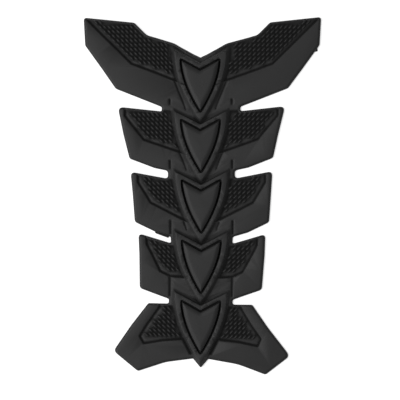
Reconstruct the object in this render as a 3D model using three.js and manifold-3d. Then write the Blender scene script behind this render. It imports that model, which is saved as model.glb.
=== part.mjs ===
// A motorcycle tank pad: one moulding of black rubber, shaped like a spine with five pairs of wings.
// It lies on its flat back, z = 0, with its moulded face up. X runs across the pad, and Y runs along
// the spine towards the widest pair of wings. The origin is at the middle of the back.

import * as THREE from 'three';
import { mergeVertices } from 'three/addons/utils/BufferGeometryUtils.js';
import Module from 'manifold-3d';

const wasm = await Module();
wasm.setup();

// Driving dimensions of the whole pad, in millimetres
const plateThickness = 2.2;
const edgeThickness = 1.1;
const rimWidth = 1.6;
const firstVertebraY = 78.1;
const vertebraPitch = 34.6;

// The arrowhead shield on each vertebra, and the scale that carries it
const shieldHalfWidth = 11.3;
const shieldLength = 30;
const shieldNotchDepth = 6.2;
const shieldSideBow = 11;
const shieldSideBowDepth = 14;
const shieldCornerRadius = 0.8;
const grooveWidth = 1.15;
const grooveDepth = 1.5;
const flangeWidth = 2.3;
const flangeHeight = 1.4;
const flankRun = 1.5;
const domeRise = 0.9;
const domeFacetWidth = 3.1;
const domeShoulder = 0.15;

// The sunk fields of small slanted bumps on the wings
const fieldDepth = 0.7;
const fieldWallRun = 0.9;
const fieldBorder = 2.1;
const fieldCornerRadius = 1;
const bumpPitch = 2.56;
const bumpHeight = 0.68;
const bumpFoot = 0.1;
const bumpGapToCrease = 2.3;
const bumpGapToEdge = 2.9;
const bumpGapToFlank = 0.7;

// The short crease at the root of the middle wings, and two moulding faults on the edge
const rootCreaseX = 17.8;
const rootCreaseWidth = 0.9;
const rootCreaseDepth = 0.4;
const flashThickness = 0.5;
const barbThickness = 0.8;

// One vertebra is a pair of wings and its shield. Its frame has its origin level with the two top
// corners of the shield. All points are of the right side, and an outline corner is [x, y, radius].
// The edge runs down the outline from one vertebra to the next. The field's crease runs from its
// outer end to the spine, and fieldTop runs back from the spine to the outer end. A root crease
// starts at rootCreaseTop and ends in the slot below. The barb is on the right wing, the flash on
// the left one.
const vertebrae = [
  {
    edge: [
      [0, 0.2, 0.6], [14.9, 9, 12], [31.7, 13.8, 6], [38.9, 21, 3], [68.2, 24, 1.7],
      [67.3, 7.9, 3], [49.4, -16.9, 3.5],
    ],
    crease: [[66.8, 23.1], [40.6, -2.7], [9, -14.4]],
    fieldTop: [[9, 12], [40, 30]],
    bumpStart: [35.3, 5.6],
    barb: [[66, 6.5], [66.2, 4.4], [64, 3.9], [63, 6]],
  },
  {
    edge: [[22.5, 7.2, 1.35], [22.5, 4.7, 1.35], [48, 7.5, 2.6], [41.1, -22.3, 2.3], [26.8, -27.8, 4]],
    crease: [[42.9, 9], [42.9, 1.5], [32.3, -11.1], [9, -20.1]],
    fieldTop: [[9, 5.2], [22, 5.2]],
    bumpStart: [27.5, -2.2],
    rootCreaseTop: -23.3,
  },
  {
    edge: [[19.2, 5.2, 1.9], [19.2, 0.7, 1.9], [40.7, 4.8, 2.3], [38.5, -24.3, 2.6], [26.2, -30.2, 4]],
    crease: [[36.8, 7], [36.6, -1.4], [29.4, -13.2], [8, -24.2]],
    fieldTop: [[9, -0.4], [19, 0.6]],
    bumpStart: [22, -7.1],
    rootCreaseTop: -23.8,
    flash: [
      [26.7, -29.5], [26.6, -31.1], [25.8, -31.5], [19.2, -33.6], [19.4, -32],
      [19.8, -32.9], [25.3, -31.1], [25.6, -29.7],
    ],
  },
  {
    edge: [[17.4, 1.4, 1.8], [17.4, -2.5, 1.8], [36.4, 2.8, 2], [35, -28, 2.6]],
    crease: [[32, 4], [31.7, -2.5], [23.6, -18.1], [17.8, -20.9], [8, -21.6]],
    fieldTop: [[9, -4.6], [18, -3]],
    bumpStart: [21.3, -9.4],
    rootCreaseTop: -20.9,
  },
  {
    edge: [
      [18.3, 0, 1.4], [18.3, -2.9, 1.4], [29.8, -2.8, 1.8], [50.9, -31.2, 3], [36.6, -41.8, 2],
      [20.7, -36, 30], [4.4, -33.5, 0.5], [0, -38.6, 0.5],
    ],
    crease: [[22.6, -2], [24.4, -5.5], [34.9, -21.5], [32.9, -26.3], [21.9, -24.1], [8, -22.7]],
    fieldTop: [[9, -4], [18, -3]],
    bumpStart: [20.5, -15.1],
  },
];

// Levels above the back
const floorZ = plateThickness - fieldDepth;
const flangeZ = plateThickness + flangeHeight;
const grooveZ = flangeZ - grooveDepth;
const domeZ = flangeZ + domeRise;
const insideZ = edgeThickness / 2;
const aboveZ = domeZ + 1;

// How far a cutter stands out of the face that it cuts
const skin = 0.05;

// How finely round stretches are drawn
const cornerSteps = 3;
const sideSteps = 6;
const smallestBend = 0.06;

const vertebraY = (index) => firstVertebraY - index * vertebraPitch;
const lowered = (points, index) => points.map(([x, y, radius]) => [x, y + vertebraY(index), radius]);
const swapSides = (points) => points.map(([x, y, radius]) => [-x, y, radius]);

// Closes a half outline, listed from the top of the axis to its bottom, with its mirror image.
function bothHalves(half) {
  const offAxis = half.filter(([x]) => x > 0);
  return [...half, ...swapSides(offAxis).reverse()];
}

function anticlockwise(loop) {
  const contour = loop.map(([x, y]) => new THREE.Vector2(x, y));
  return THREE.ShapeUtils.area(contour) > 0 ? loop : loop.slice().reverse();
}

// Moves each side of a loop inwards by inset, and keeps its round corners concentric.
function insetLoop(loop, inset) {
  return loop.map(([x, y, radius], index) => {
    const corner = new THREE.Vector2(x, y);
    const before = loop.at(index - 1);
    const after = loop[(index + 1) % loop.length];
    const into = new THREE.Vector2(x - before[0], y - before[1]).normalize();
    const out = new THREE.Vector2(after[0] - x, after[1] - y).normalize();
    const inward = new THREE.Vector2(-into.y - out.y, into.x + out.x).divideScalar(1 + into.dot(out));
    corner.addScaledVector(inward, inset);
    const bulges = into.cross(out) > 0;
    return { corner, radius: bulges ? radius - inset : radius + inset, sharp: radius === undefined };
  });
}

// The points of a loop after its sides are moved inwards and its corners rounded. Loops of the same
// corners have the same number of points, whatever their inset.
function ring(corners, inset) {
  const loop = insetLoop(anticlockwise(corners), inset);
  return loop.flatMap(({ corner, radius, sharp }, index) => {
    if (sharp) return [corner];
    const into = corner.clone().sub(loop.at(index - 1).corner);
    const out = loop[(index + 1) % loop.length].corner.clone().sub(corner);
    const room = 0.45 * Math.min(into.length(), out.length());
    const halfTurn = into.normalize().angleTo(out.normalize()) / 2;
    const bend = THREE.MathUtils.clamp(radius * Math.tan(halfTurn), Math.min(smallestBend, room), room);
    const start = corner.clone().addScaledVector(into, -bend);
    const end = corner.clone().addScaledVector(out, bend);
    return new THREE.QuadraticBezierCurve(start, corner, end).getPoints(cornerSteps);
  });
}

// A solid with sloping walls: each section is [inset of the outline, height], from the lowest up.
function taper(corners, sections) {
  const rings = sections.map(([inset]) => ring(corners, inset));
  const levels = sections.length - 1;
  const options = { depth: levels, steps: levels, bevelEnabled: false };
  const geometry = new THREE.ExtrudeGeometry(new THREE.Shape(rings[0]), options);
  const key = (x, y) => `${Math.fround(x)} ${Math.fround(y)}`;
  const places = new Map(rings[0].map((point, index) => [key(point.x, point.y), index]));
  const position = geometry.attributes.position;
  for (let vertex = 0; vertex < position.count; vertex += 1) {
    const level = Math.round(position.getZ(vertex));
    const place = places.get(key(position.getX(vertex), position.getY(vertex)));
    const point = rings[level][place];
    position.setXYZ(vertex, point.x, point.y, sections[level][1]);
  }
  return geometry;
}

// Turns a closed geometry into a solid that can be joined and cut.
function solid(geometry) {
  const bare = geometry.clone();
  bare.deleteAttribute('normal');
  bare.deleteAttribute('uv');
  const merged = mergeVertices(bare, 1e-4);
  const vertProperties = new Float32Array(merged.attributes.position.array);
  const triVerts = new Uint32Array(merged.index.array);
  return new wasm.Manifold(new wasm.Mesh({ numProp: 3, vertProperties, triVerts }));
}

const joined = (solids) => solids.reduce((whole, next) => whole.add(next));

function insideLoop([x, y], loop) {
  let inside = false;
  loop.forEach(([ax, ay], index) => {
    const [bx, by] = loop.at(index - 1);
    const crosses = (ay > y) !== (by > y) && x < ax + ((y - ay) / (by - ay)) * (bx - ax);
    if (crosses) inside = !inside;
  });
  return inside;
}

function distanceToPath([x, y], path) {
  const point = new THREE.Vector3(x, y, 0);
  const distances = path.slice(1).map(([bx, by], index) => {
    const [ax, ay] = path[index];
    const line = new THREE.Line3(new THREE.Vector3(ax, ay, 0), new THREE.Vector3(bx, by, 0));
    return line.closestPointToPoint(point, true, new THREE.Vector3()).distanceTo(point);
  });
  return Math.min(...distances);
}

// Outline of the whole pad, and the outline of one shield along the middle of its groove
const halfOutline = vertebrae.flatMap(({ edge }, index) => lowered(edge, index));
const padOutline = bothHalves(halfOutline);

function shieldOutline(index) {
  const top = new THREE.Vector2(shieldHalfWidth, 0);
  const bow = new THREE.Vector2(shieldSideBow, -shieldSideBowDepth);
  const tip = new THREE.Vector2(0, -shieldLength);
  const side = new THREE.QuadraticBezierCurve(top, bow, tip).getPoints(sideSteps).slice(1, -1);
  const half = [
    [0, -shieldNotchDepth, shieldCornerRadius],
    [top.x, top.y, shieldCornerRadius],
    ...side.map(({ x, y }) => [x, y]),
    [0, tip.y, shieldCornerRadius],
  ];
  return lowered(bothHalves(half), index);
}

// The plate has a thin edge all round, which rolls up to its full thickness across the rim.
function plate() {
  const rimRise = plateThickness - edgeThickness;
  const roll = [0, 30, 60, 90].map((degrees) => {
    const angle = THREE.MathUtils.degToRad(degrees);
    return [rimWidth * (1 - Math.cos(angle)), edgeThickness + rimRise * Math.sin(angle)];
  });
  return solid(taper(padOutline, [[0, 0], ...roll]));
}

// Everything that lies inside the outline by a given distance, from just above the back upwards
function padInterior(inset) {
  return solid(taper(padOutline, [[inset, insideZ], [inset, aboveZ]]));
}

// A cutter for sunk areas: its wall slopes outwards from the floor of the field.
function sunkArea(corners, border) {
  const slopeAbove = fieldWallRun * ((aboveZ - floorZ) / fieldDepth);
  const floorInset = border + fieldWallRun / 2;
  return solid(taper(corners, [[floorInset, floorZ], [floorInset - slopeAbove, aboveZ]]));
}

function fieldLoop({ crease, fieldTop }, index) {
  const loop = [...crease, ...fieldTop].map(([x, y]) => [x, y, fieldCornerRadius]);
  return lowered(loop, index);
}

function field(vertebra, index, side) {
  const loop = fieldLoop(vertebra, index);
  return sunkArea(side > 0 ? loop : swapSides(loop), 0);
}

const distanceToFlankFoot = flangeWidth + grooveWidth / 2 + flankRun * (1 + fieldDepth / flangeHeight);

// Whether a bump has its place here: inside its field, and clear of the crease, the edge and the spine
function holdsBump(point, vertebra, index) {
  const foot = ring(shieldOutline(index), -distanceToFlankFoot - bumpGapToFlank);
  return insideLoop(point, fieldLoop(vertebra, index))
    && distanceToPath(point, lowered(vertebra.crease, index)) > bumpGapToCrease
    && distanceToPath(point, halfOutline) > bumpGapToEdge
    && !insideLoop(point, foot.map(({ x, y }) => [x, y]));
}

// A block whose top is a grid of slanted bumps. The diagonals of the grid give each bump its slant, and
// the top sinks below the floor of the field where there are no bumps.
function bumpBlock(vertebra, index, side) {
  const [startX, startY] = lowered([vertebra.bumpStart], index)[0];
  const xs = vertebra.crease.map(([x]) => x);
  const ys = lowered([...vertebra.crease, ...vertebra.fieldTop], index).map(([, y]) => y);
  const columnsOut = Math.ceil((Math.max(...xs) - startX) / bumpPitch);
  const columnsIn = Math.ceil((startX - Math.min(...xs)) / bumpPitch);
  const rowsUp = Math.ceil((Math.max(...ys) - startY) / bumpPitch);
  const rowsDown = Math.ceil((startY - Math.min(...ys)) / bumpPitch);
  const columns = columnsIn + columnsOut + 1;
  const rows = rowsUp + rowsDown + 1;
  const left = startX - (columnsIn + 0.5) * bumpPitch;
  const bottom = startY - (rowsDown + 0.5) * bumpPitch;
  const holds = Array.from({ length: columns }, (_, column) => Array.from({ length: rows }, (_, row) => {
    const centre = [left + (column + 0.5) * bumpPitch, bottom + (row + 0.5) * bumpPitch];
    return holdsBump(centre, vertebra, index);
  }));
  const sunkZ = (floorZ + insideZ) / 2;
  const heightAt = (stepX, stepY) => {
    const near = (step) => (step % 2 ? [(step - 1) / 2] : [step / 2 - 1, step / 2]);
    const held = near(stepX).some((column) => near(stepY).some((row) => holds[column]?.[row]));
    if (!held) return sunkZ;
    return floorZ + (stepX % 2 && stepY % 2 ? bumpHeight : bumpFoot);
  };
  const half = bumpPitch / 2;
  const geometry = new THREE.BoxGeometry(columns * bumpPitch, rows * bumpPitch, 1, 2 * columns, 2 * rows, 1);
  const position = geometry.attributes.position;
  for (let vertex = 0; vertex < position.count; vertex += 1) {
    const stepX = Math.round(position.getX(vertex) / half + columns);
    const stepY = Math.round(position.getY(vertex) / half + rows);
    const z = position.getZ(vertex) > 0 ? heightAt(stepX, stepY) : insideZ;
    position.setXYZ(vertex, side * (left + stepX * half), bottom + stepY * half, z);
  }
  if (side < 0) turnInsideOut(geometry);
  return solid(geometry);
}

function turnInsideOut(geometry) {
  const triangles = geometry.index.array;
  for (let first = 0; first < triangles.length; first += 3) {
    [triangles[first], triangles[first + 1]] = [triangles[first + 1], triangles[first]];
  }
}

// The scale has a flat flange round the shield, and its flank slopes down to the plate and the fields.
function scale(vertebra, index) {
  const flangeGrowth = flangeWidth + grooveWidth / 2;
  const footGrowth = flangeGrowth + flankRun * ((flangeZ - insideZ) / flangeHeight);
  return solid(taper(shieldOutline(index), [[-footGrowth, insideZ], [-flangeGrowth, flangeZ]]));
}

function shieldPit(vertebra, index) {
  return solid(taper(shieldOutline(index), [[-grooveWidth / 2, grooveZ], [-grooveWidth / 2, aboveZ]]));
}

// The shield stands in its groove with a bevelled face all round.
function shield(vertebra, index) {
  const inset = grooveWidth / 2;
  const sections = [[inset, insideZ], [inset, flangeZ - domeShoulder], [inset + domeFacetWidth, domeZ]];
  return solid(taper(shieldOutline(index), sections));
}

// A short crease that runs down a wing's plate, a V in section, to the slot below it
function rootCrease(vertebra, index, side) {
  const left = rootCreaseX - rootCreaseWidth / 2;
  const right = rootCreaseX + rootCreaseWidth / 2;
  const top = vertebra.rootCreaseTop;
  const bottom = vertebrae[index + 1].edge[0][1] - vertebraPitch;
  const loop = lowered([[left, top], [right, top], [right, bottom], [left, bottom]], index);
  const sections = [[rootCreaseWidth * 0.45, plateThickness - rootCreaseDepth], [0, plateThickness + skin]];
  return solid(taper(side > 0 ? loop : swapSides(loop), sections));
}

// A sliver of rubber on the edge, as thick as given
function sliver(corners, index, thickness) {
  return solid(taper(lowered(corners, index), [[0, 0], [0, thickness]]));
}

const sides = [1, -1];
const inEach = (make) => vertebrae.map((vertebra, index) => make(vertebra, index));
const onBothSides = (make) => inEach((vertebra, index) => sides.map((side) => make(vertebra, index, side))).flat();

const fields = joined(onBothSides(field)).intersect(sunkArea(padOutline, fieldBorder));
const bumps = joined(onBothSides(bumpBlock)).intersect(padInterior(rimWidth / 2));
const scales = joined(inEach(scale)).intersect(padInterior(rimWidth / 4));
const shieldPits = joined(inEach(shieldPit));
const shields = joined(inEach(shield));
const rootCreases = joined(onBothSides((vertebra, index, side) => (
  vertebra.rootCreaseTop ? [rootCrease(vertebra, index, side)] : []
)).flat());
const slivers = joined(inEach(({ barb, flash }, index) => [
  ...(barb ? [sliver(barb, index, barbThickness)] : []),
  ...(flash ? [sliver(swapSides(flash), index, flashThickness)] : []),
]).flat());

const padSolid = plate()
  .subtract(fields)
  .subtract(rootCreases)
  .add(bumps)
  .add(scales)
  .subtract(shieldPits)
  .add(shields)
  .add(slivers);

function meshOf(body, name, material) {
  const { vertProperties, triVerts } = body.getMesh();
  const geometry = new THREE.BufferGeometry();
  geometry.setAttribute('position', new THREE.BufferAttribute(new Float32Array(vertProperties), 3));
  geometry.setIndex(new THREE.BufferAttribute(new Uint32Array(triVerts), 1));
  geometry.computeVertexNormals();
  const mesh = new THREE.Mesh(geometry, material);
  mesh.name = name;
  return mesh;
}

const rubber = new THREE.MeshStandardMaterial({ color: 0x2a2a2b, roughness: 0.72, metalness: 0 });

const tankPad = new THREE.Group();
tankPad.add(meshOf(padSolid, 'tank_pad', rubber));

export default tankPad;
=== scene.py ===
"""A motorcycle tank pad of moulded rubber, shaped like a spine with five pairs of wings.

The pad lies on its flat back on a pale floor. Its meshes are shaped in millimetres, joined into one
skin with soft edges, and brought to metres last.
"""

import logging
import math
from collections.abc import Iterable
from dataclasses import dataclass, field
from enum import Enum

import bmesh
import bpy
import numpy as np
from mathutils import Matrix, Vector


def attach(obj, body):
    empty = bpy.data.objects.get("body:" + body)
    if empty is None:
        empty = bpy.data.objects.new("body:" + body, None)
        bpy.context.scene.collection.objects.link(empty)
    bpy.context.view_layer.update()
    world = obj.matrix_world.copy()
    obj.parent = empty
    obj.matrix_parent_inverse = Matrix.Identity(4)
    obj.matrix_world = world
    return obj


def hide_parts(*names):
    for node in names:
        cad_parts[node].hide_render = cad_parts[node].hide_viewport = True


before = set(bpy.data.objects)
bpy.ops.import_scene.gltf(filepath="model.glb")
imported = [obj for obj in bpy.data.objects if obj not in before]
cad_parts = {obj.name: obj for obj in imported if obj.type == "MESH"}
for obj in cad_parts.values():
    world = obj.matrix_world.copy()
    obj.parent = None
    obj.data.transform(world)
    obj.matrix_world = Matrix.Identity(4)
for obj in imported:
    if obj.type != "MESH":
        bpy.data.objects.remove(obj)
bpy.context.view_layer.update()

log = logging.getLogger("tank_pad")

MM = 0.001
NODE = "tank_pad"
# Name of the point attribute that says how sunk each point is; the rubber's colour is darkened by it as
# painted shade.
PAINTED_SHADE_ATTRIBUTE = "sunk"
CREASE_FALL = 1.5

# Of an outline's round corners: the steps in a corner and in a bow, the least length that a corner
# takes up, how many times its radius it may grow to, and the share of a side that it may use.
CORNER_STEPS = 6
BOW_STEPS = 18
SMALLEST_BEND = 0.06
MOST_GROWTH = 2.0
ROOM = 0.45


class Side(Enum):
    """Which half of the pad a wing is on."""

    RIGHT = 1
    LEFT = -1


class Cut(Enum):
    """How one solid changes another."""

    REMOVE = "DIFFERENCE"
    KEEP_COMMON = "INTERSECT"


@dataclass(frozen=True)
class Corner:
    """One corner of an outline, in millimetres.

    A corner with no radius is a bow: the outline curves towards it, from the corner before it to the
    corner after it.
    """

    x: float
    y: float
    radius: float | None = None


@dataclass(frozen=True)
class Outline:
    """A closed outline with round corners, listed anticlockwise."""

    corners: tuple[Corner, ...]

    @classmethod
    def of(cls, points: Iterable[tuple[float, ...]], y: float = 0.0) -> "Outline":
        """Makes an outline from plain tuples, turned anticlockwise.

        Args:
            points: (x, y) or (x, y, radius) of each corner.
            y: How far up the whole outline is moved.

        Returns:
            The outline.
        """
        corners = [Corner(point[0], point[1] + y, *point[2:]) for point in points]
        pairs = zip(corners, corners[1:] + corners[:1])
        area = sum(a.x * b.y - b.x * a.y for a, b in pairs)
        return cls(tuple(corners if area > 0 else reversed(corners)))

    def on(self, side: Side) -> "Outline":
        """Gives the outline for one side of the pad.

        Args:
            side: The side.

        Returns:
            The outline as drawn, for the right side, or its mirror image.
        """
        if side is Side.RIGHT:
            return self
        return Outline(tuple(Corner(-c.x, c.y, c.radius) for c in reversed(self.corners)))

    def ring(self, inset: float) -> list[Vector]:
        """Works out the outline after its sides are moved inwards and its corners rounded.

        Args:
            inset: How far the sides move inwards, or outwards if it is negative.

        Returns:
            The points, as many for every inset, at height 0.
        """
        count = len(self.corners)
        moved = []
        for index, corner in enumerate(self.corners):
            before = self.corners[index - 1]
            after = self.corners[(index + 1) % count]
            here = Vector((corner.x, corner.y))
            into = (here - Vector((before.x, before.y))).normalized()
            out = (Vector((after.x, after.y)) - here).normalized()
            inward = Vector((-into.y - out.y, into.x + out.x)) / (1 + into.dot(out))
            moved.append(here + inward * inset)
        bends = []
        for index, corner in enumerate(self.corners):
            into = moved[index] - moved[index - 1]
            out = moved[(index + 1) % count] - moved[index]
            radius = corner.radius or 0
            grown = radius + inset if into.cross(out) < 0 else min(radius - inset, MOST_GROWTH * radius)
            room = ROOM * min(into.length, out.length)
            bend = min(max(grown * math.tan(into.angle(out) / 2), min(SMALLEST_BEND, room)), room)
            start, end = moved[index] - into.normalized() * bend, moved[index] + out.normalized() * bend
            bends.append((start, end))
        points = []
        for index, corner in enumerate(self.corners):
            start, end = bends[index]
            shares = [step / CORNER_STEPS for step in range(CORNER_STEPS + 1)]
            if corner.radius is None:
                start, end = bends[index - 1][1], bends[(index + 1) % count][0]
                shares = [step / BOW_STEPS for step in range(1, BOW_STEPS)]
            for share in shares:
                towards, away = start.lerp(moved[index], share), moved[index].lerp(end, share)
                points.append(towards.lerp(away, share).to_3d())
        return points


@dataclass(frozen=True)
class Section:
    """One level of a loft: an outline, how far inside it the wall passes, and the height there."""

    outline: Outline
    inset: float
    height: float

    def points(self) -> list[Vector]:
        """Gives the section's ring at its height."""
        return [point + Vector((0, 0, self.height)) for point in self.outline.ring(self.inset)]


def loft(sections: Iterable[Section]) -> bmesh.types.BMesh:
    """Raises a closed solid whose wall follows a list of sections.

    Args:
        sections: The sections, from the lowest cap to the highest one, with as many corners each.

    Returns:
        The solid.
    """
    bm = bmesh.new()
    place = bm.verts.layers.int.new("place")
    first, *rest = sections
    for index, point in enumerate(first.points()):
        bm.verts.new(point)[place] = index
    face = base = bm.faces.new(bm.verts[:])
    for section in rest:
        ring = section.points()
        grown = bmesh.ops.extrude_face_region(bm, geom=[face])["geom"]
        if face is not base:
            bmesh.ops.delete(bm, geom=[face], context="FACES_ONLY")
        face = next(item for item in grown if isinstance(item, bmesh.types.BMFace))
        for vert in face.verts:
            vert.co = ring[vert[place]]
    bmesh.ops.recalc_face_normals(bm, faces=bm.faces)
    return bm


def joined(solids: Iterable[bmesh.types.BMesh], name: str) -> bpy.types.Object:
    """Puts closed solids together in one object.

    Args:
        solids: The solids, which are freed.
        name: The name of the object and its mesh.

    Returns:
        The object, in millimetres.
    """
    whole = bmesh.new()
    for solid in solids:
        part = bpy.data.meshes.new("part")
        solid.to_mesh(part)
        solid.free()
        whole.from_mesh(part)
        bpy.data.meshes.remove(part)
    mesh = bpy.data.meshes.new(name)
    whole.to_mesh(mesh)
    whole.free()
    obj = bpy.data.objects.new(name, mesh)
    bpy.context.scene.collection.objects.link(obj)
    return obj


def bake_modifiers(obj: bpy.types.Object) -> None:
    """Replaces an object's mesh by what its modifiers make of it.

    Args:
        obj: The object, which has no modifiers afterwards.
    """
    graph = bpy.context.evaluated_depsgraph_get()
    mesh = bpy.data.meshes.new_from_object(obj.evaluated_get(graph))
    old = obj.data
    obj.modifiers.clear()
    obj.data = mesh
    bpy.data.meshes.remove(old)


def cut(obj: bpy.types.Object, tool: bpy.types.Object, how: Cut) -> None:
    """Changes an object by a tool, which is used up.

    Args:
        obj: The object that is changed.
        tool: The solid that cuts it.
        how: Whether the tool's room is removed or kept.
    """
    modifier = obj.modifiers.new("cut", "BOOLEAN")
    modifier.operation = how.value
    modifier.solver = "EXACT"
    modifier.object = tool
    bake_modifiers(obj)
    mesh = tool.data
    bpy.data.objects.remove(tool)
    bpy.data.meshes.remove(mesh)


@dataclass(frozen=True)
class Levels:
    """Heights above the pad's back, in millimetres.

    Attributes:
        edge: The top of the plate's upright edge, where the rim starts to roll in.
        plate: The top of the wings.
        floor: The floor of the sunk fields.
        flange: The top of the scales.
        groove: The floor of the grooves round the shields.
        dome: The top of the shields.
        inside: A height within the plate, where the scales start.
        cutter_top: The top of the solids that cut the fields.
        over: A height that is clear of the whole pad.
    """

    edge: float = 1.1
    plate: float = 2.2
    floor: float = 1.5
    flange: float = 3.6
    groove: float = 1.4
    dome: float = 4.5
    inside: float = 0.5
    cutter_top: float = 2.5
    over: float = 5.5


LEVELS = Levels()


@dataclass(frozen=True)
class Wing:
    """One wing of a vertebra as it is on the right side, in the vertebra's own frame.

    Attributes:
        edge: The corners of its stretch of the pad's outline, from the spine out and back.
        crease: The outer border of its sunk field, from its outer end to the spine.
        field_top: The border from the spine back to the outer end.
        bump_start: The centre of one bump of the lattice.
        root_crease: The top and bottom of the crease at its root, if it has one.
    """

    edge: tuple[tuple[float, ...], ...]
    crease: tuple[tuple[float, float], ...]
    field_top: tuple[tuple[float, float], ...]
    bump_start: tuple[float, float]
    root_crease: tuple[float, float] | None = None


WINGS = (
    Wing(
        edge=(
            (0, 0.2, 0.6), (14.9, 9, 12), (31.7, 13.8, 6), (38.9, 21, 3), (68.2, 24, 1.7),
            (67.3, 7.9, 3), (49.4, -16.9, 3.5),
        ),
        crease=((66.8, 23.1), (40.6, -2.7), (9, -14.4)),
        field_top=((9, 12), (40, 30)),
        bump_start=(35.3, 5.6),
        root_crease=(-23.4, -25.6),
    ),
    Wing(
        edge=((22.5, 7.2, 1.35), (22.5, 4.7, 1.35), (48, 7.5, 2.6), (41.1, -22.3, 2.3), (26.8, -27.8, 4)),
        crease=((43.9, 8), (43.9, 2.2), (32.6, -11.6), (9, -19.9)),
        field_top=((13.5, 3.5), (18, 5.2), (22, 5.2)),
        bump_start=(27.5, -2.2),
        root_crease=(-23.8, -27.8),
    ),
    Wing(
        edge=((19.2, 5.2, 1.9), (19.2, 0.7, 1.9), (40.7, 4.8, 2.3), (38.5, -24.3, 2.6), (26.2, -30.2, 4)),
        crease=((36.8, 7), (36.6, -1.4), (29.4, -13.2), (8, -24.2)),
        field_top=((9, -0.4), (19, 0.6)),
        bump_start=(22, -7.1),
        root_crease=(-23.8, -30.8),
    ),
    Wing(
        edge=((17.4, 1.8, 1.7), (17.4, -2, 1.7), (36.4, 3.7, 2), (35, -28, 2.6)),
        crease=((32, 4), (31.7, -2.5), (23.6, -18.1), (17.8, -20.9), (8, -21.6)),
        field_top=((9, -4.6), (18, -3)),
        bump_start=(21.3, -9.4),
        root_crease=(-20.9, -31.8),
    ),
    Wing(
        edge=(
            (18.3, 0.6, 1.3), (18.3, -2.1, 1.3), (29.8, -2.0, 1.4), (50.7, -30.4, 3), (36.6, -41.6, 2),
            (20.7, -36, 30), (4.4, -33.5, 0.5), (0, -38.6, 0.5),
        ),
        crease=((22.6, -2), (24.4, -5.5), (34.9, -21.2), (32.7, -25.5), (21.9, -23.4), (8, -22.2)),
        field_top=((9, -4), (18, -3)),
        bump_start=(20.5, -15.1),
    ),
)


def distance_to_path(point: Vector, path: list[Vector]) -> float:
    """Measures how near a point is to a path of straight stretches.

    Args:
        point: The point.
        path: The ends of the stretches.

    Returns:
        The distance in the path's own unit.
    """
    nearest = math.inf
    for start, end in zip(path, path[1:]):
        along = end - start
        share = min(max((point - start).dot(along) / along.length_squared, 0.0), 1.0)
        nearest = min(nearest, (point - start - along * share).length)
    return nearest


def is_inside(point: Vector, loop: list[Vector]) -> bool:
    """Tells whether a point lies inside a closed loop.

    Args:
        point: The point.
        loop: The corners of the loop.

    Returns:
        True if it does.
    """
    inside = False
    for a, b in zip(loop, loop[1:] + loop[:1]):
        if (a.y > point.y) != (b.y > point.y):
            across = a.x + (point.y - a.y) / (b.y - a.y) * (b.x - a.x)
            inside = inside != (point.x < across)
    return inside


@dataclass(frozen=True)
class Shield:
    """The arrowhead shield of a vertebra, its groove, and the scale that carries it.

    Attributes:
        half_width: From the middle of the shield to its groove's top corner.
        length: From the top corners down to the groove's tip.
        notch_depth: How far the groove's notch lies below its top corners.
        side_bow: The point that the groove's right side bows towards.
        groove_wall: How far each wall of the groove leans over its depth.
        flange_notch: The height of the notch in the scale's outer edge.
        flange_corner: The right top corner of that edge.
        flange_bow: The point that the right side of that edge bows towards.
        flange_tip: The height of the tip of that edge.
        flank_run: How far the flank runs out between the flange and the plate.
        dome_roll: How far in from the groove the dome rises.
        dome_shoulder: How far above the flange the dome starts.
    """

    half_width: float = 11.3
    length: float = 30.6
    notch_depth: float = 6.2
    side_bow: tuple[float, float] = (10.1, -14.5)
    corner_radius: float = 0.8
    groove_width: float = 1.15
    groove_wall: float = 0.1
    flange_notch: float = -2.9
    flange_corner: tuple[float, float] = (14.8, 4.4)
    flange_bow: tuple[float, float] = (14.4, -14.5)
    flange_tip: float = -35.4
    flank_run: float = 1.7
    dome_roll: float = 2.8
    dome_shoulder: float = 0.3
    dome_steps: int = 6

    def outline(self, y: float) -> Outline:
        """Draws the middle line of the groove.

        Args:
            y: The height of the vertebra's origin along the spine.

        Returns:
            The outline.
        """
        return self.arrowhead(y, -self.notch_depth, (self.half_width, 0), self.side_bow, -self.length)

    def flange(self, y: float) -> Outline:
        """Draws the outer edge of the flange round the groove, as outline does."""
        return self.arrowhead(y, self.flange_notch, self.flange_corner, self.flange_bow, self.flange_tip)

    def arrowhead(
        self, y: float, notch: float, corner: tuple[float, float], bow: tuple[float, float], tip: float
    ) -> Outline:
        """Draws an arrowhead that points down the spine.

        Args:
            y: The height of the vertebra's origin along the spine.
            notch: How high the notch is above that origin.
            corner: The top corner at the right.
            bow: The point that the right side bows towards.
            tip: How high the tip is above the origin.

        Returns:
            The outline.
        """
        right = [(*corner, self.corner_radius), bow]
        left = [(-point[0], *point[1:]) for point in reversed(right)]
        ends = [(0, height, self.corner_radius) for height in (notch, tip)]
        return Outline.of([ends[0], *right, ends[1], *left], y)

    def flank(self, height: float) -> float:
        """Works out how far the flank has run out from the flange's edge where it reaches a height."""
        return self.flank_run * (LEVELS.flange - height) / (LEVELS.flange - LEVELS.plate)

    def build(self, y: float) -> bmesh.types.BMesh:
        """Builds the scale with its groove and its domed shield as one solid.

        Args:
            y: The height of the vertebra's origin along the spine.

        Returns:
            The solid.
        """
        flange, groove, half = self.flange(y), self.outline(y), self.groove_width / 2
        shoulder = LEVELS.flange + self.dome_shoulder
        sections = [
            Section(flange, -self.flank(LEVELS.inside), LEVELS.inside),
            Section(flange, 0, LEVELS.flange),
            Section(groove, -half, LEVELS.flange),
            Section(groove, self.groove_wall - half, LEVELS.groove),
            Section(groove, half - self.groove_wall, LEVELS.groove),
            Section(groove, half, shoulder),
        ]
        for step in range(1, self.dome_steps + 1):
            share = step / self.dome_steps
            rise = (LEVELS.dome - shoulder) * (1 - (1 - share) ** 2)
            sections.append(Section(groove, half + self.dome_roll * share, shoulder + rise))
        return loft(sections)


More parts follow.
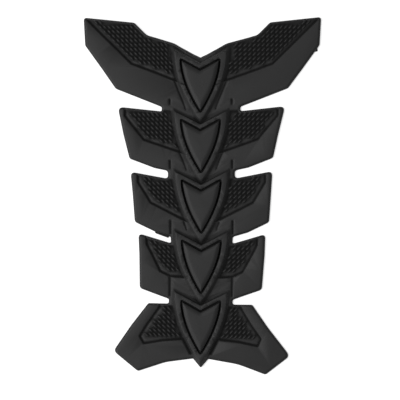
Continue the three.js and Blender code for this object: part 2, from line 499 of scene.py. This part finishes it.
@dataclass
class Spine:
    """The row of vertebrae, which gives each wing and shield its place along the pad."""

    first_y: float = 78.1
    pitch: float = 34.6
    shield: Shield = field(default_factory=Shield)

    def y(self, index: int) -> float:
        """Gives the height of a vertebra's origin along the pad."""
        return self.first_y - index * self.pitch

    def scales(self) -> list[bmesh.types.BMesh]:
        """Builds the scale and shield of each vertebra."""
        return [self.shield.build(self.y(index)) for index in range(len(WINGS))]


@dataclass
class Plate:
    """The flat body of the pad, with its rolled rim and sunk fields.

    Attributes:
        rim_width: How far in from the edge the rim reaches its full height.
        field_border: How far a field stays from the pad's outline.
        field_wall: How far a field's wall leans between its floor and the plate.
        field_radius: The radius of a field's corners.
    """

    spine: Spine
    rim_width: float = 1.6
    rim_steps: int = 6
    field_border: float = 1.2
    field_wall: float = 0.8
    field_radius: float = 1.0

    def outline(self) -> Outline:
        """Joins the wings' edges, and their mirror images, into one.

        Returns:
            The pad's outline.
        """
        half = [
            (point[0], point[1] + self.spine.y(index), *point[2:])
            for index, wing in enumerate(WINGS)
            for point in wing.edge
        ]
        mirrored = [(-point[0], *point[1:]) for point in reversed(half) if point[0] > 0]
        return Outline.of(half + mirrored)

    def slab(self) -> bpy.types.Object:
        """Builds the plate with the rim rolled up all round.

        Returns:
            The plate, before anything is cut into it.
        """
        outline = self.outline()
        sections = [Section(outline, 0, 0), Section(outline, 0, LEVELS.edge)]
        for step in range(1, self.rim_steps + 1):
            angle = math.pi / 2 * step / self.rim_steps
            height = LEVELS.edge + (LEVELS.plate - LEVELS.edge) * math.sin(angle)
            sections.append(Section(outline, self.rim_width * (1 - math.cos(angle)), height))
        return joined([loft(sections)], "slab")

    def hollow(self, outline: Outline, border: float) -> bmesh.types.BMesh:
        """Builds a cutter whose wall slopes out from the floor of the fields.

        Args:
            outline: The outline of the hollow, level with the plate.
            border: How far inside that outline the hollow starts.

        Returns:
            The cutter.
        """
        run = self.field_wall * (LEVELS.cutter_top - LEVELS.floor) / (LEVELS.plate - LEVELS.floor)
        foot = border + self.field_wall / 2
        lowest = Section(outline, foot, LEVELS.floor)
        highest = Section(outline, foot - run, LEVELS.cutter_top)
        return loft([lowest, highest])

    def field_outline(self, index: int) -> Outline:
        """Draws the border of a right wing's sunk field."""
        points = [(x, y, self.field_radius) for x, y in WINGS[index].crease + WINGS[index].field_top]
        return Outline.of(points, self.spine.y(index))

    def build(self) -> bpy.types.Object:
        """Builds the plate and sinks its fields.

        Returns:
            The plate.
        """
        slab = self.slab()
        fields = []
        for index in range(len(WINGS)):
            for side in Side:
                fields.append(self.hollow(self.field_outline(index).on(side), 0.0))
        hollows = joined(fields, "fields")
        inner = joined([self.hollow(self.outline(), self.field_border)], "inner")
        cut(hollows, inner, Cut.KEEP_COMMON)
        cut(slab, hollows, Cut.REMOVE)
        return slab

    def trimmed(self, scale: bmesh.types.BMesh) -> bpy.types.Object:
        """Cuts off what the foot of the last scale has beyond the pad's outline.

        Args:
            scale: The scale, which is freed.

        Returns:
            The scale as an object.
        """
        outline = self.outline()
        tip = joined([scale], "last_scale")
        room = joined([loft([Section(outline, 0, 0), Section(outline, 0, LEVELS.over)])], "room")
        cut(tip, room, Cut.KEEP_COMMON)
        return tip


@dataclass
class Bumps:
    """The small slanted bumps that stand in rows on the floors of the sunk fields.

    Attributes:
        plate: The plate that they stand on.
        pitch: How far apart they are, across and along the pad.
        slant: How many degrees they are turned from straight across.
        roundness: How many times a bump's faces are divided.
        gap_to_crease: How near a bump's centre may come to a field's outer border.
        gap_to_edge: How near it may come to the pad's edge.
        gap_to_flank: How near it may come to the foot of a scale's flank.
        reach: How many places of the lattice are tried each way.
    """

    plate: Plate
    pitch: float = 2.56
    half_length: float = 1.75
    half_width: float = 0.62
    height: float = 0.9
    slant: float = 45.0
    roundness: int = 2
    gap_to_crease: float = 2.3
    gap_to_edge: float = 1.9
    gap_to_flank: float = 0.7
    reach: int = 24

    def places(self, index: int) -> list[Vector]:
        """Lists where a right wing has its bumps.

        Args:
            index: Which vertebra the wing is on, from the top.

        Returns:
            The bumps' centres.
        """
        spine, wing = self.plate.spine, WINGS[index]
        level = Vector((0, spine.y(index)))
        crease = [Vector(point) + level for point in wing.crease]
        area = [point.to_2d() for point in self.plate.field_outline(index).ring(0)]
        edge = [point.to_2d() for point in self.plate.outline().ring(0)]
        shield = spine.shield
        foot = shield.flank(LEVELS.floor) + self.gap_to_flank
        flank = [point.to_2d() for point in shield.flange(spine.y(index)).ring(-foot)]
        start = Vector(wing.bump_start) + level
        held = []
        for column in range(-self.reach, self.reach + 1):
            for row in range(-self.reach, self.reach + 1):
                point = start + Vector((column, row)) * self.pitch
                if (
                    is_inside(point, area)
                    and is_inside(point, edge)
                    and not is_inside(point, flank)
                    and distance_to_path(point, crease) > self.gap_to_crease
                    and distance_to_path(point, edge) > self.gap_to_edge
                ):
                    held.append(point)
        return held

    def build(self) -> bmesh.types.BMesh:
        """Builds every bump, as a long low dome that leans out and up on both sides of the spine.

        Returns:
            All the bumps, each a closed solid.
        """
        bump = bmesh.new()
        size = Matrix.Diagonal((self.half_length, self.half_width, self.height, 1))
        bmesh.ops.create_icosphere(bump, subdivisions=self.roundness, radius=1, matrix=size)
        mesh = bpy.data.meshes.new("bump")
        bump.to_mesh(mesh)
        bump.free()
        rows = bmesh.new()
        for index in range(len(WINGS)):
            for point in self.places(index):
                for side in Side:
                    slant = Matrix.Rotation(side.value * math.radians(self.slant), 4, "Z")
                    place = Matrix.Translation((side.value * point.x, point.y, LEVELS.floor)) @ slant
                    mesh.transform(place)
                    rows.from_mesh(mesh)
                    mesh.transform(place.inverted())
        bpy.data.meshes.remove(mesh)
        return rows


@dataclass
class Slivers:
    """Two faults of the moulding: a sliver of flash on a slot's edge, and a barb on a wing's outer edge."""

    spine: Spine
    flash_vertebra: int = 2
    flash_thickness: float = 1.0
    flash: tuple[tuple[float, float], ...] = (
        (27, -28.9), (26.8, -30.6), (25.9, -31.1), (19.3, -33.5), (18.7, -32.9), (19, -31),
        (25.6, -28.7),
    )
    barb_vertebra: int = 0
    barb_thickness: float = 0.8
    barb: tuple[tuple[float, float], ...] = ((66, 6.5), (66.2, 4.4), (64, 3.9), (63, 6))
    corner_radius: float = 0.15

    def outline(self, points: tuple[tuple[float, float], ...], vertebra: int) -> Outline:
        """Draws a sliver's outline in its vertebra's place."""
        return Outline.of([(x, y, self.corner_radius) for x, y in points], self.spine.y(vertebra))

    def build(self) -> list[bmesh.types.BMesh]:
        """Builds both slivers.

        Returns:
            The flash and the barb.
        """
        flash = self.outline(self.flash, self.flash_vertebra).on(Side.LEFT)
        barb = self.outline(self.barb, self.barb_vertebra)
        return [
            loft([Section(flash, 0, 0), Section(flash, 0, self.flash_thickness)]),
            loft([Section(barb, 0, 0), Section(barb, 0, self.barb_thickness)]),
        ]


@dataclass(frozen=True)
class Crease:
    """A line that is pressed into the skin, in the vertebra's own frame and on the right side.

    Attributes:
        path: The points of the line.
        reach: How far the crease reaches from the line at its start and at its end.
        depth: How deep it is at its start and at its end.
        lean: The shares of that reach that it has at the left and at the right of the line.
        side: The half of the pad that it stays in.
    """

    path: tuple[tuple[float, float], ...]
    reach: tuple[float, float]
    depth: tuple[float, float]
    lean: tuple[float, float] = (1.0, 1.0)
    side: Side = Side.RIGHT

    def placed(self, side: Side, y: float) -> "Crease":
        """Puts the crease in its place on the pad.

        Args:
            side: The side that it is for.
            y: The height of the vertebra's origin along the spine.

        Returns:
            The crease there.
        """
        path = tuple((side.value * x, up + y) for x, up in self.path)
        lean = self.lean if side is Side.RIGHT else self.lean[::-1]
        return Crease(path, self.reach, self.depth, lean, side)

    def drop(self, points: np.ndarray) -> np.ndarray:
        """Works out how far the crease lowers each of some points.

        Args:
            points: The x and y of each point.

        Returns:
            The drops, in millimetres.
        """
        path = np.array(self.path)
        steps = np.diff(path, axis=0)
        lengths = np.hypot(*steps.T)
        passed = np.concatenate(([0], np.cumsum(lengths)))
        nearest = np.full(len(points), np.inf)
        along = np.zeros(len(points))
        lean = np.ones(len(points))
        for start, step, length, before in zip(path, steps, lengths, passed):
            offset = points - start
            share = np.clip(offset @ step / length**2, 0, 1)
            away = np.hypot(*(offset - share[:, None] * step).T)
            nearer = away < nearest
            nearest[nearer] = away[nearer]
            along[nearer] = (before + share * length)[nearer] / passed[-1]
            at_left = step[0] * offset[:, 1] - step[1] * offset[:, 0] > 0
            lean[nearer] = np.where(at_left, *self.lean)[nearer]
        reach = np.interp(along, (0, 1), self.reach) * lean
        depth = np.interp(along, (0, 1), self.depth)
        return depth * (1 - np.clip(nearest / reach, 0, 1)) ** CREASE_FALL


@dataclass
class Relief:
    """The creases of the scales, the fields and the wings' roots, pressed into the finished skin.

    Attributes:
        lap: The fold above a scale, where the tip of the scale above it lies.
        foot: The line along a scale's flank, of which each wing has the stretch below its field.
        foot_tops: How high that stretch starts on each wing that has one.
        last_foot: The line along the flank of the last scale.
        foot_reach: The reach of the stretches of foot. Their depth and lean follow.
        web: The step at the top of the web that joins a wing to the next one down.
        brow: The line above the first scale, which no other scale laps.
        border_reach: The reach of the line that deepens each field's outer border. Its depth and
            lean follow.
        root_x: How far out the short creases at the wings' roots are. Their reach and depth follow.
        lowest: The height below which nothing is pressed.
    """

    spine: Spine
    lap: Crease = Crease(((14.6, 5.0), (0, -2.6)), (1.6, 3.4), (0.45, 1.5), (0.12, 1))
    foot: tuple[tuple[float, float], ...] = ((15.1, -11.9), (12.8, -18), (10.4, -23.6), (8.7, -28.5))
    foot_tops: tuple[float, ...] = (-11.9, -18.6, -24.5)
    last_foot: Crease = Crease(((9.9, -22.6), (6, -30.2)), (1.9, 1.9), (0.9, 0.9), (0.7, 1))
    foot_reach: tuple[float, float] = (1.8, 1.6)
    foot_depth: tuple[float, float] = (0.6, 0.5)
    foot_lean: tuple[float, float] = (0.5, 1.0)
    web: Crease = Crease(((16.8, -23.6), (8.9, -27.6), (6, -29.2)), (3.4, 3.0), (0.1, 0.2), (1, 0.6))
    brow: Crease = Crease(((14.6, 6.0), (0, -1.9)), (1.0, 1.4), (0.3, 0.7))
    border_reach: tuple[float, float] = (1.2, 1.2)
    border_depth: tuple[float, float] = (0.45, 0.5)
    border_lean: tuple[float, float] = (0.65, 1.3)
    root_x: float = 17.8
    root_reach: tuple[float, float] = (1.2, 1.1)
    root_depth: tuple[float, float] = (0.8, 0.6)
    lowest: float = 1.0

    def creases(self) -> list[Crease]:
        """Lists every crease of the pad in its place.

        Returns:
            The creases of both sides, from the top wing down.
        """
        held = []
        for index, wing in enumerate(WINGS):
            here = [Crease(wing.crease, self.border_reach, self.border_depth, self.border_lean)]
            here.append(self.lap if index > 0 else self.brow)
            if index < len(self.foot_tops):
                top = self.foot_tops[index]
                heights = [top] + [y for _, y in self.foot if y < top]
                xs = np.interp(heights, *zip(*[(y, x) for x, y in reversed(self.foot)]))
                path = tuple(zip(xs, heights))
                here.append(Crease(path, self.foot_reach, self.foot_depth, self.foot_lean))
            here.append(self.last_foot if index == len(WINGS) - 1 else self.web)
            if wing.root_crease:
                path = tuple((self.root_x, y) for y in wing.root_crease)
                here.append(Crease(path, self.root_reach, self.root_depth))
            held += [crease.placed(side, self.spine.y(index)) for crease in here for side in Side]
        return held

    def press(self, points: np.ndarray) -> None:
        """Lowers the points of the pad's face where a crease passes.

        Args:
            points: The points of the skin, which are changed in place.
        """
        drops = np.zeros(len(points))
        for crease in self.creases():
            path, reach = np.array(crease.path), max(crease.reach)
            near = (points[:, :2] > path.min(0) - reach).all(1)
            near &= (points[:, :2] < path.max(0) + reach).all(1)
            near &= (points[:, 2] > self.lowest) & (points[:, 0] * crease.side.value >= 0)
            drops[near] = np.maximum(drops[near], crease.drop(points[near, :2]))
        points[:, 2] -= drops


@dataclass(frozen=True)
class Lie:
    """How the soft pad lies: not quite straight, with each wing drawn a little to one side.

    Attributes:
        heights: The heights along the pad that the shifts are given for, from the top down.
        left: How far the left wings lie to the right of their place at those heights.
        middle: The same for the spine.
        right: The same for the right wings.
        spine_width: How far out from the middle line the spine's shift holds.
        wing_start: How far out the wings' shifts hold wholly.
        turn: How many degrees the pad is turned clockwise at those heights.
    """

    heights: tuple[float, ...] = (72, 35, 1, -34, -75, -92)
    left: tuple[float, ...] = (0.5, -0.4, 0.35, 0.3, -1.0, 0.2)
    middle: tuple[float, ...] = (-0.43, -0.2, 0.26, 0.29, -0.22, -0.22)
    right: tuple[float, ...] = (0.6, 0.0, 0.4, 0.6, -0.9, 0.3)
    spine_width: float = 13.0
    wing_start: float = 26.0
    turn: tuple[float, ...] = (0.1, -0.25, -0.2, 0.5, 0.9, 1.4)

    def settle(self, points: np.ndarray) -> None:
        """Moves the points of the skin as the pad lies.

        Args:
            points: The points, which are changed in place.
        """
        left, middle, right, turn = (
            np.interp(-points[:, 1], [-height for height in self.heights], values)
            for values in (self.left, self.middle, self.right, self.turn)
        )
        share = (np.abs(points[:, 0]) - self.spine_width) / (self.wing_start - self.spine_width)
        aside = np.where(points[:, 0] > 0, right, left)
        points[:, 1] -= np.radians(turn) * points[:, 0]
        points[:, 0] += middle + (aside - middle) * np.clip(share, 0, 1)


@dataclass(frozen=True)
class Hollows:
    """Finds how deep each point of the skin lies below what is round it, for the painted shade in the
    rubber's colour.

    Attributes:
        cell: The side of the squares in which the skin's height is read.
        reach: How many squares each way are round a point.
        full: The depth that counts as wholly sunk, for a point in a field and for one on the plate.
        heights: The heights of those two points.
        lowest: The height below which a point is on the pad's outer wall or back, and not sunk.
        highest: The height that everything higher counts as.
    """

    cell: float = 0.4
    reach: int = 3
    full: tuple[float, float] = (0.38, 1.1)
    heights: tuple[float, float] = (1.75, 2.05)
    lowest: float = 0.9
    highest: float = 4.5

    def averaged(self, grid: np.ndarray) -> np.ndarray:
        """Averages a grid over the squares round each one.

        Args:
            grid: The heights in the squares.

        Returns:
            The averages, in a grid of the same size.
        """
        span = 2 * self.reach + 1
        for _ in range(2):
            sums = np.pad(grid, ((self.reach + 1, self.reach), (0, 0))).cumsum(0)
            grid = ((sums[span:] - sums[:-span]) / span).T
        return grid

    def measure(self, skin: np.ndarray, points: np.ndarray) -> np.ndarray:
        """Measures how sunk some points are.

        Args:
            skin: Points that cover the skin closely.
            points: The points to measure.

        Returns:
            A share from 0, level or raised, to 1, wholly sunk.
        """
        low = skin[:, :2].min(0)
        size = ((skin[:, :2].max(0) - low) / self.cell).astype(int) + 1
        top = np.zeros(size)
        np.maximum.at(top, tuple(((skin[:, :2] - low) / self.cell).astype(int).T), skin[:, 2])
        column, row = np.clip(((points[:, :2] - low) / self.cell).astype(int), 0, size - 1).T
        heights = points[:, 2]
        full = np.interp(heights, self.heights, self.full)
        around = self.averaged(np.minimum(top, self.highest))[column, row]
        depths = np.clip((around - heights) / full, 0, 1)
        return np.where(heights > self.lowest, depths, 0)


def read_points(mesh: bpy.types.Mesh) -> np.ndarray:
    """Reads the places of a mesh's vertices.

    Args:
        mesh: The mesh.

    Returns:
        The x, y and z of each vertex.
    """
    points = np.empty(len(mesh.vertices) * 3, dtype=np.float32)
    mesh.vertices.foreach_get("co", points)
    return points.reshape(-1, 3)


@dataclass
class Skin:
    """How the solids are joined into one moulded skin.

    Attributes:
        relief: The creases that are pressed into it.
        lie: How it is drawn aside as it lies.
        hollows: How its sunk places are found, where the rubber's colour is darkened as painted shade.
        voxel: The size of the cells in which the solids are joined.
        back: The height below which a point belongs to the flat back.
    """

    relief: Relief
    lie: Lie = field(default_factory=Lie)
    hollows: Hollows = field(default_factory=Hollows)
    voxel: float = 0.24
    quick_voxel: float = 0.36
    smoothing: float = 0.5
    smoothing_rounds: int = 2
    most_triangles: int = 188_000
    back: float = 0.1

    def wrap(self, obj: bpy.types.Object) -> None:
        """Joins the overlapping solids of an object into one closed skin with soft edges.

        Args:
            obj: The object, in millimetres.
        """
        remesh = obj.modifiers.new("skin", "REMESH")
        remesh.mode = "VOXEL"
        remesh.voxel_size = self.voxel
        remesh.adaptivity = 0
        smooth = obj.modifiers.new("soften", "SMOOTH")
        smooth.factor = self.smoothing
        smooth.iterations = self.smoothing_rounds
        bake_modifiers(obj)
        skin = read_points(obj.data)
        self.relief.press(skin)
        self.lie.settle(skin)
        obj.data.vertices.foreach_set("co", skin.ravel())
        obj.data.calc_loop_triangles()
        count = len(obj.data.loop_triangles)
        log.info("skin: %d triangles before thinning", count)
        if count > self.most_triangles:
            thin = obj.modifiers.new("thin", "DECIMATE")
            thin.ratio = self.most_triangles / count
            bake_modifiers(obj)
        points = read_points(obj.data)
        points[points[:, 2] < self.back, 2] = 0
        obj.data.vertices.foreach_set("co", points.ravel())
        # Stores how sunk each point is, by which the material paints shade into the colour.
        sunk = obj.data.attributes.new(PAINTED_SHADE_ATTRIBUTE, "FLOAT", "POINT")
        sunk.data.foreach_set("value", self.hollows.measure(skin, points))
        obj.data.shade_smooth()
        obj.data.update()


def new_material(name: str) -> tuple[bpy.types.Material, bpy.types.Node]:
    """Makes a material with node shading.

    Args:
        name: The material's name.

    Returns:
        The material and its Principled shader.
    """
    material = bpy.data.materials.new(name)
    material.use_nodes = True
    return material, material.node_tree.nodes["Principled BSDF"]


@dataclass(frozen=True)
class Rubber:
    """Matte moulded rubber, near black, with a fine grain, whose hollows are darkened by painted shade.

    Attributes:
        dark: The darker of the two tones that it varies between.
        light: The lighter one.
        sunk: The painted shade that its deepest places are darkened to.
        tone_scale: How fast the tone varies, per metre, and tone_detail how finely.
        grain_scale: How fine the grain is, per metre.
        grain_height: How high the grain stands, in metres.
    """

    dark: tuple[float, float, float] = (0.012, 0.012, 0.0122)
    light: tuple[float, float, float] = (0.016, 0.016, 0.0162)
    sunk: tuple[float, float, float] = (0.002, 0.002, 0.002)
    roughness: float = 0.55
    sunk_roughness: float = 1.0
    tone_scale: float = 90.0
    tone_detail: float = 6.0
    grain_scale: float = 2600.0
    grain_detail: float = 2.0
    grain_strength: float = 0.25
    grain_height: float = 0.00008

    def make(self) -> bpy.types.Material:
        """Makes the material, whose colour is darkened to painted shade, and whose roughness rises, where
        the piece's own attribute says that it is sunk.

        Returns:
            The material.
        """
        material, shader = new_material("moulded_rubber")
        nodes, links = material.node_tree.nodes, material.node_tree.links
        place = nodes.new("ShaderNodeTexCoord")
        bloom = nodes.new("ShaderNodeTexNoise")
        bloom.inputs["Scale"].default_value = self.tone_scale
        bloom.inputs["Detail"].default_value = self.tone_detail
        links.new(place.outputs["Object"], bloom.inputs["Vector"])
        tone = nodes.new("ShaderNodeMix")
        tone.data_type = "RGBA"
        tone.inputs["A"].default_value = (*self.dark, 1)
        tone.inputs["B"].default_value = (*self.light, 1)
        links.new(bloom.outputs["Fac"], tone.inputs["Factor"])
        depth = nodes.new("ShaderNodeAttribute")
        depth.attribute_name = PAINTED_SHADE_ATTRIBUTE
        # Painted shade: the colour darkens towards near black where the skin is sunk.
        painted_shade = nodes.new("ShaderNodeMix")
        painted_shade.data_type = "RGBA"
        painted_shade.inputs["B"].default_value = (*self.sunk, 1)
        links.new(tone.outputs["Result"], painted_shade.inputs["A"])
        links.new(depth.outputs["Fac"], painted_shade.inputs["Factor"])
        links.new(painted_shade.outputs["Result"], shader.inputs["Base Color"])
        grain = nodes.new("ShaderNodeTexNoise")
        grain.inputs["Scale"].default_value = self.grain_scale
        grain.inputs["Detail"].default_value = self.grain_detail
        links.new(place.outputs["Object"], grain.inputs["Vector"])
        bump = nodes.new("ShaderNodeBump")
        bump.inputs["Strength"].default_value = self.grain_strength
        bump.inputs["Distance"].default_value = self.grain_height
        links.new(grain.outputs["Fac"], bump.inputs["Height"])
        links.new(bump.outputs["Normal"], shader.inputs["Normal"])
        rougher = nodes.new("ShaderNodeMapRange")
        rougher.inputs["To Min"].default_value = self.roughness
        rougher.inputs["To Max"].default_value = self.sunk_roughness
        links.new(depth.outputs["Fac"], rougher.inputs["Value"])
        links.new(rougher.outputs["Result"], shader.inputs["Roughness"])
        return material


@dataclass
class TankPad:
    """The whole pad: plate, scales, bumps and the moulding's faults in one skin."""

    spine: Spine = field(default_factory=Spine)
    finish: Rubber = field(default_factory=Rubber)

    def build(self) -> bpy.types.Object:
        """Builds the pad, brings it to metres and dresses it.

        Returns:
            The finished pad.
        """
        plate = Plate(self.spine)
        *scales, last = self.spine.scales()
        body = bmesh.new()
        for piece in (plate.build(), plate.trimmed(last)):
            mesh = piece.data
            log.info("%s: %d faces", piece.name, len(mesh.polygons))
            body.from_mesh(mesh)
            bpy.data.objects.remove(piece)
            bpy.data.meshes.remove(mesh)
        solids = [body, Bumps(plate).build(), *scales, *Slivers(self.spine).build()]
        pad = joined(solids, "pad_moulding")
        Skin(Relief(self.spine)).wrap(pad)
        pad.data.transform(Matrix.Scale(MM, 4))
        pad.data.materials.clear()
        pad.data.materials.append(self.finish.make())
        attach(pad, "root")
        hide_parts(NODE)
        size = [round(length, 4) for length in pad.dimensions]
        log.info("%s: %d faces, box %s", pad.name, len(pad.data.polygons), size)
        return pad


@dataclass(frozen=True)
class Softbox:
    """A soft square light that faces the pad: its place and size in metres, and its power in watts."""

    name: str
    place: tuple[float, float, float]
    size: float
    power: float

    def hang(self) -> None:
        """Puts the light in the scene."""
        light = bpy.data.lights.new(self.name, "AREA")
        light.size = self.size
        light.energy = self.power
        lamp = bpy.data.objects.new(self.name, light)
        place = Vector(self.place)
        facing = (-place).to_track_quat("-Z", "Y").to_matrix().to_4x4()
        lamp.matrix_world = Matrix.Translation(place) @ facing
        bpy.context.scene.collection.objects.link(lamp)


@dataclass(frozen=True)
class Studio:
    """The pale floor, the soft lights and the camera, in metres.

    Attributes:
        floor_gap: How far the floor lies below the pad's back.
        floor_tone: The floor's grey.
        floor_glow: How much light the floor gives off.
        daylight: The strength of the even light all round.
        camera_tilt: How many degrees the camera stands to the right of straight above.
        view_width: How wide a stretch the picture shows at the pad.
        aim: The point that the camera looks at.
        sensor: The width of the camera's sensor, in millimetres.
    """

    floor_size: float = 4.0
    floor_gap: float = 0.0001
    floor_tone: float = 0.9
    floor_roughness: float = 0.9
    floor_glow: float = 0.65
    daylight: float = 0.2
    overhead_softbox: Softbox = Softbox("overhead_softbox", (-0.72, 0.05, 1.4), 0.7, 9.9)
    left_softbox: Softbox = Softbox("left_softbox", (-0.85, -0.55, 0.55), 0.6, 2.5)
    camera_tilt: float = 3.0
    camera_distance: float = 1.2
    view_width: float = 0.2296
    aim: tuple[float, float] = (-0.0007, -0.0027)
    sensor: float = 36.0

    def floor(self) -> None:
        """Lays the floor that the pad rests on."""
        bm = bmesh.new()
        bmesh.ops.create_grid(bm, x_segments=1, y_segments=1, size=self.floor_size / 2)
        floor = joined([bm], "floor")
        floor.location.z = -self.floor_gap
        material, shader = new_material("pale_floor")
        shader.inputs["Base Color"].default_value = (self.floor_tone, self.floor_tone, self.floor_tone, 1)
        shader.inputs["Roughness"].default_value = self.floor_roughness
        shader.inputs["Emission Color"].default_value = (1, 1, 1, 1)
        shader.inputs["Emission Strength"].default_value = self.floor_glow
        floor.data.materials.append(material)

    def lights(self) -> None:
        """Sets the even daylight, and hangs one softbox high at the left and one low at the left."""
        world = bpy.data.worlds.new("studio")
        world.use_nodes = True
        sky = world.node_tree.nodes["Background"]
        sky.inputs["Color"].default_value = (1, 1, 1, 1)
        sky.inputs["Strength"].default_value = self.daylight
        bpy.context.scene.world = world
        for softbox in (self.overhead_softbox, self.left_softbox):
            softbox.hang()

    def camera(self) -> None:
        """Places the camera above the pad, a few degrees to the right of the middle."""
        tilt = math.radians(self.camera_tilt)
        data = bpy.data.cameras.new("camera")
        data.sensor_width = self.sensor
        data.lens = self.sensor * self.camera_distance / self.view_width
        camera = bpy.data.objects.new("camera", data)
        target = Vector((*self.aim, 0))
        place = target + Vector((math.sin(tilt), 0, math.cos(tilt))) * self.camera_distance
        camera.matrix_world = Matrix.Translation(place) @ Matrix.Rotation(tilt, 4, "Y")
        bpy.context.scene.collection.objects.link(camera)
        bpy.context.scene.camera = camera

    def build(self) -> None:
        """Sets up the floor, the lights and the camera."""
        self.floor()
        self.lights()
        self.camera()
        bpy.context.scene.view_settings.view_transform = "Standard"


def main() -> None:
    """Builds the pad and the studio, and reports each piece."""
    logging.basicConfig(level=logging.INFO, format="%(name)s: %(message)s")
    pad = TankPad().build()
    Studio().build()
    log.info("%s stands for %s", pad.name, NODE)


if __name__ == "__main__":
    main()
